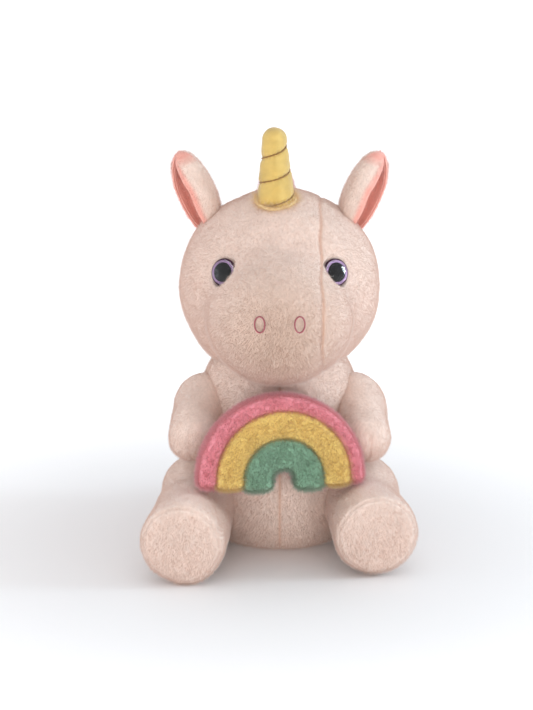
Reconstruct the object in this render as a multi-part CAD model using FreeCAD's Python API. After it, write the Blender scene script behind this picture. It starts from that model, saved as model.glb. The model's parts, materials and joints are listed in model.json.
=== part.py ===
import FreeCAD, Part

"""Seated plush unicorn that hugs a stuffed rainbow: sewn fabric shells, fillings, safety eyes and seams.

Millimetres, +Z up. The toy faces -Y, so its own left side is at +X. The origin is on the floor, under the
middle of the toy's bounding box. Every moving part turns about a ball-shaped root that sits in a pocket.
"""
import math
import os

from FreeCAD import Matrix, Placement, Rotation, Vector

# ---- Driving dimensions ----------------------------------------------------------------------------------
TORSO_Y = 12.0          # the torso's axis, behind the origin
FABRIC = 2.0            # plush with its pile
THIN_FABRIC = 1.2       # satin and lining
GAP = 0.45              # free space between two bodies that move
FAR = 400.0             # larger than the toy
SIDES = {"left": 1, "right": -1}
ARM_CLEAR, LEG_CLEAR = 2.4, 1.6     # between a limb and the torso, outside its pocket

HEAD_CENTRE = Vector(0, TORSO_Y - 3, 154.5)
HEAD_RADII = (59.8, 52.0, 58.0)
MUZZLE_CENTRE = Vector(0, TORSO_Y - 46, 143)
MUZZLE_RADII = (42.0, 38.0, 39.0)
FACE_SEAM_X = 24.0      # the two seams that run down the face
BACK_SEAM_Y = TORSO_Y + 16

NECK_PIVOT = Vector(0, TORSO_Y, 84.5)
NECK_R = 47.7           # the dome that the head slides on
NECK_THREAD_R, NECK_THREAD_RING_R = 0.9, 10.0
NECK_PAD_IN, NECK_PAD_OUT = 50.5, 53.0
NECK_PAD_HALF_ANGLE = 20
NECK_ROOM_HALF_ANGLE = 37

TORSO_BELLY_R = 51.0
TORSO_BELLY_Z = 36.0
TORSO_BASE_R = 38.5     # the flat seat
TORSO_WAIST = 0.8       # the side draws in this much between belly and dome
TORSO_DOME_FROM = 74    # degrees from the vertical where the dome ends
SEAT_PANEL_R, SEAT_PANEL_TOP = 42.0, 19.0
POUCH_R, POUCH_H, POUCH_Z, POUCH_EDGE = 30.0, 15.0, 5.0, 5.0

EYE_CENTRE_X, EYE_CENTRE_Z = 32.0, 169.4
EYE_R = 8.0
EYE_PLATE, EYE_SINK = 1.2, 1.2
EYE_ROOM, EYE_ROOM_H = 0.1, 14.0        # around the plate, and from its back to outside the head
EYE_IRIS_R, EYE_IRIS_T = 7.3, 0.5
EYE_PUPIL_R, EYE_PUPIL_T = 5.3, 1.0
EYE_LENS_H = 3.6
EYE_POST_R, EYE_POST_L = 2.2, 13.0
WASHER_R, WASHER_T, WASHER_DEPTH = 7.0, 1.3, 1.8
WASHER_ROOM = 0.03      # between the washer and the post

NOSTRIL_X, NOSTRIL_Z = 11.0, 146.6
NOSTRIL_HALF_W, NOSTRIL_HALF_H, THREAD_R = 2.8, 4.4, 0.45

HORN_BASE = Vector(-2.2, TORSO_Y - 18.5, 208)
HORN_LEAN, HORN_SIDE_LEAN = 7, 1.5   # degrees forward and to the toy's right
HORN_R, HORN_TIP_R, HORN_LENGTH, HORN_ROOT = 10.8, 6.7, 42.3, 6.0
HORN_THREAD_R, HORN_PITCH, HORN_TURNS = 0.5, 14.4, 2.6
HORN_THREAD_LOW, HORN_THREAD_START, HORN_THREAD_STEPS = -4.0, 190, 40
COLLAR_R, COLLAR_T, COLLAR_Z = 11.6, 2.3, 0.5
COLLAR_REACH = 4.0      # up and down, where the mane leaves room for it

EAR_X = 43.5            # the ear's root on the skull
EAR_Y_BACK = 4.0        # behind the skull's middle
EAR_TILT = 24           # degrees between the ear's length and the skull's normal, towards the middle
EAR_RADII = (15.5, 11.5, 28.0)
EAR_MIDDLE = 15.0       # from the root to the leaf's middle
EAR_OPEN = 3.0          # from the leaf's middle to the plane that opens it
EAR_TWIST = 48          # degrees that the open side turns outwards from the front
EAR_ROOT_R, EAR_ROOT_HALF = 4.6, 9.5
EAR_CLEAR = 3.4         # where the leaf begins, above the root

MANE_RADII = (13.5, 62.0, 75.5)
MANE_CENTRE = Vector(-1.5, TORSO_Y + 6, 155)
MANE_FRONT_Y = HORN_BASE.y + 12
MANE_FOOT_Z = 121.0

SHOULDER = Vector(44.5, TORSO_Y - 11, 84)
SHOULDER_R = 18.6
PAW = Vector(50.0, TORSO_Y - 40, 71.5)
PAW_R = 15.5

HIP = Vector(47.5, TORSO_Y - 28, 29)
HIP_R, HIP_LOW, HIP_TALL = 22.0, 24.0, 11.0     # the haunch's vertical capsule
THIGH_R = 21.0
FOOT_R, SOLE_R, SOLE_DOME, SOLE_SEAM = 24.4, 23.3, 2.4, 0.6
SOLE = {"left": Vector(55.5, TORSO_Y - 87, 25.3), "right": Vector(-55.2, TORSO_Y - 101, 24.6)}

RAINBOW_CENTRE = Vector(0.3, TORSO_Y - 68.5, 54.6)   # the centre of its arches
RAINBOW_YAW, RAINBOW_LEAN = 9, 7
RAINBOW_T, RAINBOW_BACK_T = 16.0, 2.5
RAINBOW_FOOT = 3.0      # straight part below the arches, at the sides
RAINBOW_SAG = 4.0       # more of it in the middle
ARCH_R = {"outer": 48.4, "yellow": 38.8, "green": 23.0, "notch": 6.5}
BAND_SHIFT = 1.4        # the inner bands sit this far towards the toy's left
RAINBOW_EDGE = 6.0

TAIL_ROOT = Vector(0, TORSO_Y + 53.5, 36)
TAIL_ROOT_R, TAIL_TIP_R = 8.0, 9.5
TAIL_TIP = Vector(0, TORSO_Y + 71, 25)


# ---- Shapes ----------------------------------------------------------------------------------------------
def ball(centre, radius):
    return Part.makeSphere(radius, centre)


def ellipsoid(centre, radii):
    scale = Matrix()
    scale.scale(*radii)
    solid = Part.makeSphere(1.0).transformGeometry(scale)
    solid.translate(centre)
    return solid


def box(low, high):
    size = [h - l for l, h in zip(low, high)]
    return Part.makeBox(*size, Vector(*low))


def turned(edges):
    """A solid of revolution about Z from a profile in the XZ plane that starts and ends on the axis."""
    face = Part.Face(Part.Wire(Part.__sortEdges__(edges)))
    return face.revolve(Vector(0, 0, 0), Vector(0, 0, 1), 360)


def line(a, b):
    return Part.LineSegment(Vector(a[0], 0, a[1]), Vector(b[0], 0, b[1])).toShape()


def arc(a, through, b):
    points = (Vector(p[0], 0, p[1]) for p in (a, through, b))
    return Part.Arc(*points).toShape()


def on_circle(centre_z, radius, degrees):
    """A point of the profile circle centred on the axis, at an angle above the horizontal."""
    angle = math.radians(degrees)
    return (radius * math.cos(angle), centre_z + radius * math.sin(angle))


def placed(shape, origin, axis, turn=0.0):
    """The shape with its own Z along the axis, and its own X kept level."""
    z = Vector(axis).normalize()
    level = Vector(0, 0, 1).cross(z)
    x = level.normalize() if level.Length > 1e-6 else Vector(1, 0, 0)
    y = z.cross(x)
    rotation = Rotation(x, y, z, "ZXY").multiply(Rotation(Vector(0, 0, 1), turn))
    made = shape.copy()
    made.Placement = Placement(origin, rotation).multiply(made.Placement)
    return made


def about(shape, pivot, axis, degrees):
    made = shape.copy()
    made.rotate(pivot, axis, degrees)
    return made


def tapered_capsule(start, start_r, end, end_r):
    """A ball at each end and a cone that touches both."""
    length = (end - start).Length
    tilt = math.degrees(math.asin((start_r - end_r) / length))
    a = on_circle(0, start_r, tilt)
    b = on_circle(length, end_r, tilt)
    edges = [
        arc((0, -start_r), on_circle(0, start_r, (tilt - 90) / 2), a),
        line(a, b),
        arc(b, on_circle(length, end_r, (tilt + 90) / 2), (0, length + end_r)),
        line((0, length + end_r), (0, -start_r)),
    ]
    return placed(turned(edges), start, end - start)


def fused(*shapes):
    whole = shapes[0].fuse(list(shapes[1:]))
    return whole.removeSplitter()


# ---- Head ------------------------------------------------------------------------------------------------
def head_form(inset):
    head = ellipsoid(HEAD_CENTRE, [r - inset for r in HEAD_RADII])
    muzzle = ellipsoid(MUZZLE_CENTRE, [r - inset for r in MUZZLE_RADII])
    return fused(head, muzzle)


def on_front(centre, radii, x, z):
    """The point of an ellipsoid's front at this x and z, and the outward normal there."""
    a, b, c = radii
    u, w = (x - centre.x) / a, (z - centre.z) / c
    v = -math.sqrt(1 - u * u - w * w)
    point = Vector(x, centre.y + b * v, z)
    return point, Vector(u / a, v / b, w / c).normalize()


def eye_frame(side):
    point, normal = on_front(HEAD_CENTRE, HEAD_RADII, SIDES[side] * EYE_CENTRE_X, EYE_CENTRE_Z)
    return point - normal * EYE_SINK, normal


def eye_room(side):
    """Room in the fabric and the filling for the eye's plate and its post."""
    origin, normal = eye_frame(side)
    seat = Part.makeCylinder(EYE_R + EYE_ROOM, EYE_ROOM_H)
    post = Part.makeCylinder(EYE_POST_R, EYE_POST_L, Vector(0, 0, -EYE_POST_L))
    return placed(fused(seat, post), origin, normal)


def eye_washer(side):
    origin, normal = eye_frame(side)
    low = -WASHER_DEPTH - WASHER_T
    disc = Part.makeCylinder(WASHER_R, WASHER_T, Vector(0, 0, low))
    hole = Part.makeCylinder(EYE_POST_R + WASHER_ROOM, WASHER_T, Vector(0, 0, low))
    return placed(disc.cut(hole), origin, normal)


def eye_pieces(side):
    origin, normal = eye_frame(side)
    plate = Part.makeCylinder(EYE_R, EYE_PLATE)
    post = Part.makeCylinder(EYE_POST_R, EYE_POST_L, Vector(0, 0, -EYE_POST_L))
    iris = Part.makeCylinder(EYE_IRIS_R, EYE_IRIS_T, Vector(0, 0, EYE_PLATE))
    pupil = Part.makeCylinder(EYE_PUPIL_R, EYE_PUPIL_T, Vector(0, 0, EYE_PLATE))
    lens_z = EYE_PLATE + EYE_IRIS_T
    lens_r = (EYE_IRIS_R**2 + EYE_LENS_H**2) / (2 * EYE_LENS_H)
    dome = Part.makeSphere(lens_r, Vector(0, 0, lens_z + EYE_LENS_H - lens_r))
    dome = dome.common(Part.makeCylinder(EYE_IRIS_R, EYE_LENS_H, Vector(0, 0, lens_z)))
    shapes = {
        "post_plate": fused(plate, post),
        "iris": iris.cut(pupil),
        "pupil": pupil,
        "lens": dome.cut(pupil),
    }
    pieces = {f"{side}_eye_{name}": placed(s, origin, normal) for name, s in shapes.items()}
    pieces[f"{side}_eye_washer"] = eye_washer(side)
    return pieces


def nostril_stitching(side):
    """An oval ring of embroidery thread that lies half sunk in the muzzle's pile."""
    point, normal = on_front(MUZZLE_CENTRE, MUZZLE_RADII, SIDES[side] * NOSTRIL_X, NOSTRIL_Z)
    oval = Part.Ellipse(Vector(0, 0, 0), NOSTRIL_HALF_H, NOSTRIL_HALF_W).toShape()
    section = Part.makeCircle(THREAD_R, Vector(NOSTRIL_HALF_H, 0, 0), Vector(0, 1, 0))
    ring = Part.Wire(oval).makePipeShell([Part.Wire(section)], True, False)
    return placed(ring, point, normal, 90)


def ear_placed(shape, side):
    """From the ear's own frame to the head: X along the hinge and outwards, Y backwards, Z off the skull."""
    z = HEAD_CENTRE.z + HEAD_RADII[2] * math.sqrt(1 - (EAR_X / HEAD_RADII[0]) ** 2)
    root = Vector(SIDES[side] * EAR_X, HEAD_CENTRE.y + EAR_Y_BACK, z)
    steep = math.atan2(EAR_X / HEAD_RADII[0] ** 2, (z - HEAD_CENTRE.z) / HEAD_RADII[2] ** 2)
    made = shape.mirror(Vector(0, 0, 0), Vector(1, 0, 0)) if side == "right" else shape.copy()
    made.rotate(Vector(0, 0, 0), Vector(0, 1, 0), SIDES[side] * math.degrees(steep))
    made.translate(root)
    return made


def ear_root(extra):
    reach = Vector(EAR_ROOT_HALF, 0, 0)
    return tapered_capsule(reach * -1, EAR_ROOT_R + extra, reach, EAR_ROOT_R + extra)


def ear_leaf(inset):
    """An egg that leans over the skull, opened on the side that faces forwards and outwards."""
    egg = ellipsoid(Vector(0, 0, EAR_MIDDLE), [r - inset for r in EAR_RADII])
    closed_side = box((-FAR, -EAR_OPEN, -FAR), (FAR, FAR, FAR))
    closed_side = about(closed_side, Vector(0, 0, 0), Vector(0, 0, 1), EAR_TWIST)
    return egg, closed_side


def ear_pieces(side):
    hinge = Vector(0, 0, 0)
    outer, closed_side = ear_leaf(0)
    middle, _ = ear_leaf(FABRIC)
    inner, _ = ear_leaf(FABRIC + THIN_FABRIC)
    above = box((-FAR, -FAR, EAR_CLEAR), (FAR, FAR, FAR))
    floor = box((-FAR, -FAR, EAR_CLEAR), (FAR, FAR, EAR_CLEAR + FABRIC))

    def leaning(shape):
        return about(shape.common(closed_side), hinge, Vector(0, 1, 0), -EAR_TILT)

    cover = leaning(outer.cut(middle)).common(above)
    base = leaning(outer).common(floor)
    cover = fused(cover, base, ear_root(0))
    lining = leaning(middle.cut(inner)).common(above).cut(base)
    return {
        f"{side}_ear_outer": ear_placed(cover, side),
        f"{side}_ear_lining": ear_placed(lining, side),
    }


def horn_placed(shape):
    made = shape.copy()
    made.rotate(Vector(0, 0, 0), Vector(1, 0, 0), HORN_LEAN)
    made.rotate(Vector(0, 0, 0), Vector(0, 1, 0), -HORN_SIDE_LEAN)
    made.translate(HORN_BASE)
    return made


def horn_form(inset):
    """The horn with its root: a cone that touches the ball at its tip."""
    tip_r = HORN_TIP_R - inset
    tip_z = HORN_LENGTH - HORN_TIP_R
    slope = (HORN_R - HORN_TIP_R) / tip_z
    tilt = math.degrees(math.atan(slope))
    top = on_circle(tip_z, tip_r, tilt)
    low = inset - HORN_ROOT
    foot = (top[0] + slope * (top[1] - low), low)
    edges = [
        line((0, low), foot),
        line(foot, top),
        arc(top, on_circle(tip_z, tip_r, (90 + tilt) / 2), (0, tip_z + tip_r)),
        line((0, tip_z + tip_r), (0, low)),
    ]
    return turned(edges)


def horn_thread():
    """The thread that spirals up the horn, half sunk in the satin."""
    slope = (HORN_R - HORN_TIP_R) / (HORN_LENGTH - HORN_TIP_R)
    points = []
    for step in range(HORN_THREAD_STEPS + 1):
        turns = HORN_TURNS * step / HORN_THREAD_STEPS
        angle = math.radians(HORN_THREAD_START + 360 * turns)
        z = HORN_THREAD_LOW + HORN_PITCH * turns
        radius = HORN_R - slope * z
        points.append(Vector(radius * math.cos(angle), radius * math.sin(angle), z))
    spiral = Part.BSplineCurve()
    spiral.interpolate(points)
    section = Part.makeCircle(HORN_THREAD_R, points[0], spiral.tangent(0)[0])
    return Part.Wire(spiral.toShape()).makePipeShell([Part.Wire(section)], True, True)


def horn_pieces():
    outer, inner = horn_form(0), horn_form(THIN_FABRIC)
    collar = Part.makeTorus(COLLAR_R, COLLAR_T, Vector(0, 0, COLLAR_Z)).cut(outer)
    return {
        "horn_cover": horn_placed(outer.cut(inner)),
        "horn_filling": horn_placed(inner),
        "horn_thread": horn_placed(horn_thread()).cut(head_form(0)),
        "horn_collar": horn_placed(collar).cut(head_form(0)),
    }


def mane():
    """The pink crest from behind the horn down to the nape."""
    crest = ellipsoid(MANE_CENTRE, MANE_RADII)
    behind_horn = box((-FAR, MANE_FRONT_Y, MANE_FOOT_Z), (FAR, FAR, FAR))
    horn = horn_placed(horn_form(0))
    low = Vector(0, 0, -COLLAR_REACH)
    collar = horn_placed(Part.makeCylinder(COLLAR_R + COLLAR_T, 2 * COLLAR_REACH, low))
    return {"mane": crest.common(behind_horn).cut(head_form(0)).cut(horn).cut(collar)}


def head_pieces():
    """Four fabric panels and the filling, with room for the body, the neck pad, the eyes, ears and horn."""
    outer, inner = head_form(0), head_form(FABRIC)
    rooms = [ball(NECK_PIVOT, NECK_R + GAP), neck_room(), horn_placed(horn_form(0))]
    for side in SIDES:
        rooms.append(ear_placed(ear_root(GAP), side))
        rooms.append(eye_room(side))
    shell = outer.cut(inner).cut(rooms)
    behind = box((-FAR, BACK_SEAM_Y, -FAR), (FAR, FAR, FAR))
    middle = box((-FACE_SEAM_X, -FAR, -FAR), (FACE_SEAM_X, BACK_SEAM_Y, FAR))
    pieces = {
        "head_gusset": shell.common(middle),
        "head_back": shell.common(behind),
        "head_filling": inner.cut(rooms + [eye_washer(side) for side in SIDES]),
    }
    for side, s in SIDES.items():
        low, high = sorted((s * FACE_SEAM_X, s * FAR))
        flank = box((low, -FAR, -FAR), (high, BACK_SEAM_Y, FAR))
        pieces[f"head_side_{side}"] = shell.common(flank)
    return pieces


# ---- Neck ------------------------------------------------------------------------------------------------
def cone_up(half_angle, length):
    return Part.makeCone(0, length * math.tan(math.radians(half_angle)), length, NECK_PIVOT)


def neck_room():
    return ball(NECK_PIVOT, NECK_PAD_OUT + GAP).common(cone_up(NECK_ROOM_HALF_ANGLE, FAR))


def neck_pieces():
    """The thread that gathers the body's neck shut, and the pad of filling that the head rocks on."""
    height = math.sqrt((NECK_R + GAP + NECK_THREAD_R) ** 2 - NECK_THREAD_RING_R**2)
    ring = Part.makeTorus(NECK_THREAD_RING_R, NECK_THREAD_R, NECK_PIVOT + Vector(0, 0, height))
    pad = ball(NECK_PIVOT, NECK_PAD_OUT).cut(ball(NECK_PIVOT, NECK_PAD_IN))
    return {"neck_thread": ring, "neck_filling": pad.common(cone_up(NECK_PAD_HALF_ANGLE, FAR))}


# ---- Body ------------------------------------------------------------------------------------------------
def body_form(inset):
    """The torso's turned form: a flat seat, a round belly and the dome that the head slides on."""
    lower_r = (TORSO_BELLY_R - TORSO_BASE_R) / 2
    lower_r += TORSO_BELLY_Z**2 / (2 * (TORSO_BELLY_R - TORSO_BASE_R))
    centre_x = TORSO_BELLY_R - lower_r
    radius, dome_r = lower_r - inset, NECK_R - inset
    start = math.degrees(math.asin((TORSO_BELLY_Z - inset) / radius))

    def low(degrees):
        x, z = on_circle(TORSO_BELLY_Z, radius, degrees)
        return (x + centre_x, z)

    dome_start = on_circle(NECK_PIVOT.z, dome_r, 90 - TORSO_DOME_FROM)
    dome_middle = on_circle(NECK_PIVOT.z, dome_r, 90 - TORSO_DOME_FROM / 2)
    waist_z = (TORSO_BELLY_Z + dome_start[1]) / 2
    waist = (TORSO_BELLY_R - inset - TORSO_WAIST, waist_z)
    edges = [
        line((0, inset), low(-start)),
        arc(low(-start), low(-start / 2), low(0)),
        arc(low(0), waist, dome_start),
        arc(dome_start, dome_middle, (0, NECK_PIVOT.z + dome_r)),
        line((0, NECK_PIVOT.z + dome_r), (0, inset)),
    ]
    form = turned(edges)
    form.translate(Vector(0, TORSO_Y, 0))
    return form


def limb_roots():
    """The ball pockets in the torso for the arms, the legs and the tail."""
    balls = [ball(TAIL_ROOT, TAIL_ROOT_R + GAP)]
    for s in SIDES.values():
        balls.append(ball(Vector(s * SHOULDER.x, SHOULDER.y, SHOULDER.z), SHOULDER_R + GAP))
        balls.append(haunch(s, -GAP))
    return balls


def body_pieces():
    outer, inner = body_form(0), body_form(FABRIC)
    roots = limb_roots()
    shell = outer.cut(inner).cut(roots)
    seat = Part.makeCylinder(SEAT_PANEL_R, 1 + SEAT_PANEL_TOP, Vector(0, TORSO_Y, -1))
    pouch = Part.makeCylinder(POUCH_R, POUCH_H, Vector(0, TORSO_Y, POUCH_Z))
    pouch = pouch.makeFillet(POUCH_EDGE, pouch.Edges[0:1] + pouch.Edges[2:3]).cut(roots)
    pieces = {
        "body_seat": shell.common(seat),
        "body_filling": inner.cut(roots + [pouch]),
        "seat_pouch": pouch,
    }
    for side, s in SIDES.items():
        low, high = sorted((0, s * FAR))
        for name, y_low, y_high in (("front", -FAR, TORSO_Y), ("back", TORSO_Y, FAR)):
            quarter = box((low, y_low, -FAR), (high, y_high, FAR))
            pieces[f"body_{name}_{side}"] = shell.cut(seat).common(quarter)
    return pieces


def outside_body(limb, root, clear):
    """The limb without what would lie in the torso, except for its round root."""
    return limb.cut(body_form(-clear).cut(root))


# ---- Arms, legs, tail ------------------------------------------------------------------------------------
def mirrored(point, side):
    return Vector(SIDES[side] * point.x, point.y, point.z)


def arm_form(side, inset):
    root, paw = mirrored(SHOULDER, side), mirrored(PAW, side)
    limb = tapered_capsule(root, SHOULDER_R - inset, paw, PAW_R - inset)
    limb = outside_body(limb, ball(root, SHOULDER_R - inset), ARM_CLEAR + inset)
    return limb.cut(rainbow_form(-GAP - inset))


def arm_pieces(side):
    outer, inner = arm_form(side, 0), arm_form(side, FABRIC)
    return {f"{side}_arm_cover": outer.cut(inner), f"{side}_arm_filling": inner}


def haunch(s, inset):
    """The leg's root: a vertical capsule, which turns in its pocket about its own axis."""
    low = Vector(s * HIP.x, HIP.y, HIP_LOW)
    radius = HIP_R - inset
    column = Part.makeCylinder(radius, HIP_TALL, low)
    return fused(column, ball(low, radius), ball(low + Vector(0, 0, HIP_TALL), radius))


def leg_form(side, inset):
    """A stuffed leg from the haunch to the round foot, whose sole is a shallow dome."""
    root, sole = mirrored(HIP, side), SOLE[side]
    along = (sole - root).normalize()
    back = math.sqrt(FOOT_R**2 - SOLE_R**2)
    limb = tapered_capsule(sole - along * back, FOOT_R - inset, root, THIGH_R - inset)
    dome_r = (SOLE_R**2 + SOLE_DOME**2) / (2 * SOLE_DOME)
    limb = limb.common(ball(sole - along * (dome_r - SOLE_DOME), dome_r - inset))
    hip = haunch(SIDES[side], inset)
    return fused(outside_body(limb, hip, LEG_CLEAR + inset), hip)


def leg_pieces(side):
    outer, inner = leg_form(side, 0), leg_form(side, FABRIC)
    along = (SOLE[side] - mirrored(HIP, side)).normalize()
    shell = outer.cut(inner)
    front = placed(Part.makeCylinder(FAR, FAR), SOLE[side] - along * SOLE_SEAM, along)
    return {
        f"{side}_leg_cover": shell.cut(front),
        f"{side}_leg_sole": shell.common(front),
        f"{side}_leg_filling": inner,
    }


def tail_pieces():
    def form(inset):
        return tapered_capsule(TAIL_TIP, TAIL_TIP_R - inset, TAIL_ROOT, TAIL_ROOT_R - inset)

    return {"tail_cover": form(0).cut(form(FABRIC)), "tail_filling": form(FABRIC)}


# ---- Rainbow ---------------------------------------------------------------------------------------------
def rainbow_placed(shape):
    made = shape.copy()
    made.rotate(Vector(0, 0, 0), Vector(1, 0, 0), -RAINBOW_LEAN)
    made.rotate(Vector(0, 0, 0), Vector(0, 0, 1), RAINBOW_YAW)
    made.translate(RAINBOW_CENTRE)
    return made


def lower_edge(x):
    """The height of the rainbow's sagging lower edge, from the arches' centre."""
    return -RAINBOW_FOOT - RAINBOW_SAG * (1 - (x / ARCH_R["outer"]) ** 2)


def arch_outline(inset):
    """The rainbow's outline round the arches' centre: arch, lower edge and notch."""
    wide, notch = ARCH_R["outer"] - inset, ARCH_R["notch"] + inset
    between = (wide + notch) / 2
    edges = [arc((wide, 0), (0, wide), (-wide, 0)), arc((notch, 0), (0, notch), (-notch, 0))]
    for s in (1, -1):
        points = [(s * x, lower_edge(x) + inset) for x in (wide, between, notch)]
        edges.append(line((s * wide, 0), points[0]))
        edges.append(arc(*points))
        edges.append(line(points[2], (s * notch, 0)))
    return Part.Face(Part.Wire(Part.__sortEdges__(edges)))


def rainbow_local(inset):
    """The arches as one flat cushion whose outer rim is rounded."""
    half, wide, edge = RAINBOW_T / 2 - inset, ARCH_R["outer"] - inset, RAINBOW_EDGE - inset
    disc = Part.makeCylinder(wide, 2 * half, Vector(0, -half, 0), Vector(0, 1, 0))
    disc = disc.makeFillet(edge, [e for e in disc.Edges if e.Closed])
    foot = Part.makeBox(2 * wide, 2 * half, FAR, Vector(-wide, -half, -FAR))
    foot = foot.makeFillet(edge, [e for e in foot.Edges if e.Length > FAR - 1])
    outline = arch_outline(inset)
    outline.translate(Vector(0, -FAR / 2, 0))
    return fused(disc, foot).common(outline.extrude(Vector(0, FAR, 0)))


def rainbow_form(inset):
    return rainbow_placed(rainbow_local(inset))


def band(outer_r, inner_r):
    """The space between two arches, straight down to below the rainbow."""
    def arch(radius):
        disc = Part.makeCylinder(radius, FAR, Vector(BAND_SHIFT, -FAR / 2, 0), Vector(0, 1, 0))
        low, high = BAND_SHIFT - radius, BAND_SHIFT + radius
        return fused(disc, box((low, -FAR / 2, -FAR), (high, FAR / 2, 0)))

    return arch(outer_r).cut(arch(inner_r)) if inner_r else arch(outer_r)


def rainbow_pieces():
    outer, inner = rainbow_local(0), rainbow_local(FABRIC)
    shell = outer.cut(inner)
    front = box((-FAR, -FAR, -FAR), (FAR, RAINBOW_T / 2 - RAINBOW_BACK_T, FAR))
    pieces = {
        "rainbow_pink": shell.common(front).common(band(2 * ARCH_R["outer"], ARCH_R["yellow"])),
        "rainbow_yellow": shell.common(front).common(band(ARCH_R["yellow"], ARCH_R["green"])),
        "rainbow_green": shell.common(front).common(band(ARCH_R["green"], 0)),
        "rainbow_back": shell.cut(front),
        "rainbow_filling": inner,
    }
    return {name: rainbow_placed(shape) for name, shape in pieces.items()}


# ---- The whole toy ---------------------------------------------------------------------------------------
def toy():
    pieces = {**head_pieces(), **horn_pieces(), **mane(), **neck_pieces(), **body_pieces()}
    pieces.update(tail_pieces())
    pieces.update(rainbow_pieces())
    for side in SIDES:
        pieces.update(eye_pieces(side))
        pieces[f"{side}_nostril"] = nostril_stitching(side)
        pieces.update(ear_pieces(side))
        pieces.update(arm_pieces(side))
        pieces.update(leg_pieces(side))
    return pieces


os.makedirs("parts", exist_ok=True)
for node, piece in toy().items():
    piece.exportStep(f"parts/{node}.step")
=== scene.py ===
"""Looks of the plush unicorn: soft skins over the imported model, pile, seams, eyes, horn, rainbow and studio."""
import json
import math

import bmesh
import bpy
import numpy as np
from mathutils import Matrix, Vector

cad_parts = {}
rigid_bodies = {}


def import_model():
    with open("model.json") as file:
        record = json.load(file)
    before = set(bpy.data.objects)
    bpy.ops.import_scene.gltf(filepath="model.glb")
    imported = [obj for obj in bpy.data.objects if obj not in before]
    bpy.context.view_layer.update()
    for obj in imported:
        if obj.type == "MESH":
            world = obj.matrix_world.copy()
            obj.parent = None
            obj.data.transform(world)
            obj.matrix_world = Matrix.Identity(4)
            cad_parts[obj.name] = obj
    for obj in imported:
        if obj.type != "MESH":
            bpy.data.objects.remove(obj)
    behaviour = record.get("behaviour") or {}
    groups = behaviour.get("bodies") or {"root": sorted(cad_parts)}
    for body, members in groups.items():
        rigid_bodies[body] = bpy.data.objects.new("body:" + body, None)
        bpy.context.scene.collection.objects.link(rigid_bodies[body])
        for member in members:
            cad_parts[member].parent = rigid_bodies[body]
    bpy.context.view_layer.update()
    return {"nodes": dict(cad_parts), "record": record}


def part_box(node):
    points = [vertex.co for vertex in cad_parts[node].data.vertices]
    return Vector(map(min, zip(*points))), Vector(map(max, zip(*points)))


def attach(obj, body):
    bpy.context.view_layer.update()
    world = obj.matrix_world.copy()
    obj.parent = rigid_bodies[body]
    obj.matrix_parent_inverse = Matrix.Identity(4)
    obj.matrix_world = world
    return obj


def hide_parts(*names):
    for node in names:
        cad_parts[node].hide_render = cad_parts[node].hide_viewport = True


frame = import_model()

# ---- Driving dimensions, in millimetres ------------------------------------------------------------------
M = 0.001
SIDES = {"left": 1, "right": -1}
JOINT_AT = {j["name"]: np.array(j["pos_m"]) / M for j in frame["record"]["behaviour"]["joints"]}
NECK = JOINT_AT["head_turn"]
NECK_R = 47.7
HEAD = NECK + (0, -3, 70)
HEAD_RADII = np.array((59.8, 52.0, 58.0))
MUZZLE = NECK + (0, -46, 58.5)
MUZZLE_RADII = np.array((42.0, 38.0, 39.0))
FACE_SEAM_X = 24.0
BACK_SEAM_Y = NECK[1] + 16
FABRIC = 2.0


def node_box(node):
    low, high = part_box(node)
    return np.array(low) / M, np.array(high) / M


# ---- Fields: every soft form is a distance field, negative inside ----------------------------------------
def ellipsoid(p, centre, radii):
    q = (p - centre) / radii
    k0 = np.linalg.norm(q, axis=1)
    k1 = np.linalg.norm(q / radii, axis=1) + 1e-9
    return k0 * (k0 - 1.0) / k1


def ball(p, centre, radius):
    return np.linalg.norm(p - centre, axis=1) - radius


def round_cone(p, a, ra, b, rb):
    """A ball at each end and the cone that touches both."""
    ab = b - a
    length = np.linalg.norm(ab)
    axis = ab / length
    tilt = (ra - rb) / length
    q = p - a
    along = q @ axis
    across = np.linalg.norm(q - along[:, None] * axis, axis=1)
    slope = math.sqrt(1 - tilt * tilt)
    k = along * slope - across * tilt
    side = across * slope + along * tilt - ra
    start = np.hypot(across, along) - ra
    end = np.hypot(across, along - length) - rb
    return np.where(k < 0, start, np.where(k > length * slope, end, side))


def join(a, b, k):
    """A soft union."""
    h = np.clip(0.5 + 0.5 * (b - a) / k, 0, 1)
    return b * (1 - h) + a * h - k * h * (1 - h)


def carve(a, b, k):
    """a without b, with a soft edge."""
    return -join(-a, b, k)


def lumps(p, size, seed):
    """A smooth random field of about -1 to 1, with features of the given size."""
    rng = np.random.default_rng(seed)
    directions = rng.normal(size=(14, 3))
    directions /= np.linalg.norm(directions, axis=1)[:, None]
    phases = rng.uniform(0, 2 * math.pi, 14)
    stretch = rng.uniform(0.7, 1.3, 14) * 2 * math.pi / size
    return np.sin((p @ directions.T) * stretch + phases).sum(axis=1) / 3.8


def groove(distance, width):
    return np.exp(-((distance / width) ** 2))


# ---- Meshes ----------------------------------------------------------------------------------------------
def make_mesh(name, points, faces):
    mesh = bpy.data.meshes.new(name)
    mesh.from_pydata((points * M).tolist(), [], faces)
    mesh.validate()
    mesh.update()
    mesh.polygons.foreach_set("use_smooth", [True] * len(mesh.polygons))
    piece = bpy.data.objects.new(name, mesh)
    bpy.context.scene.collection.objects.link(piece)
    return piece


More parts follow.
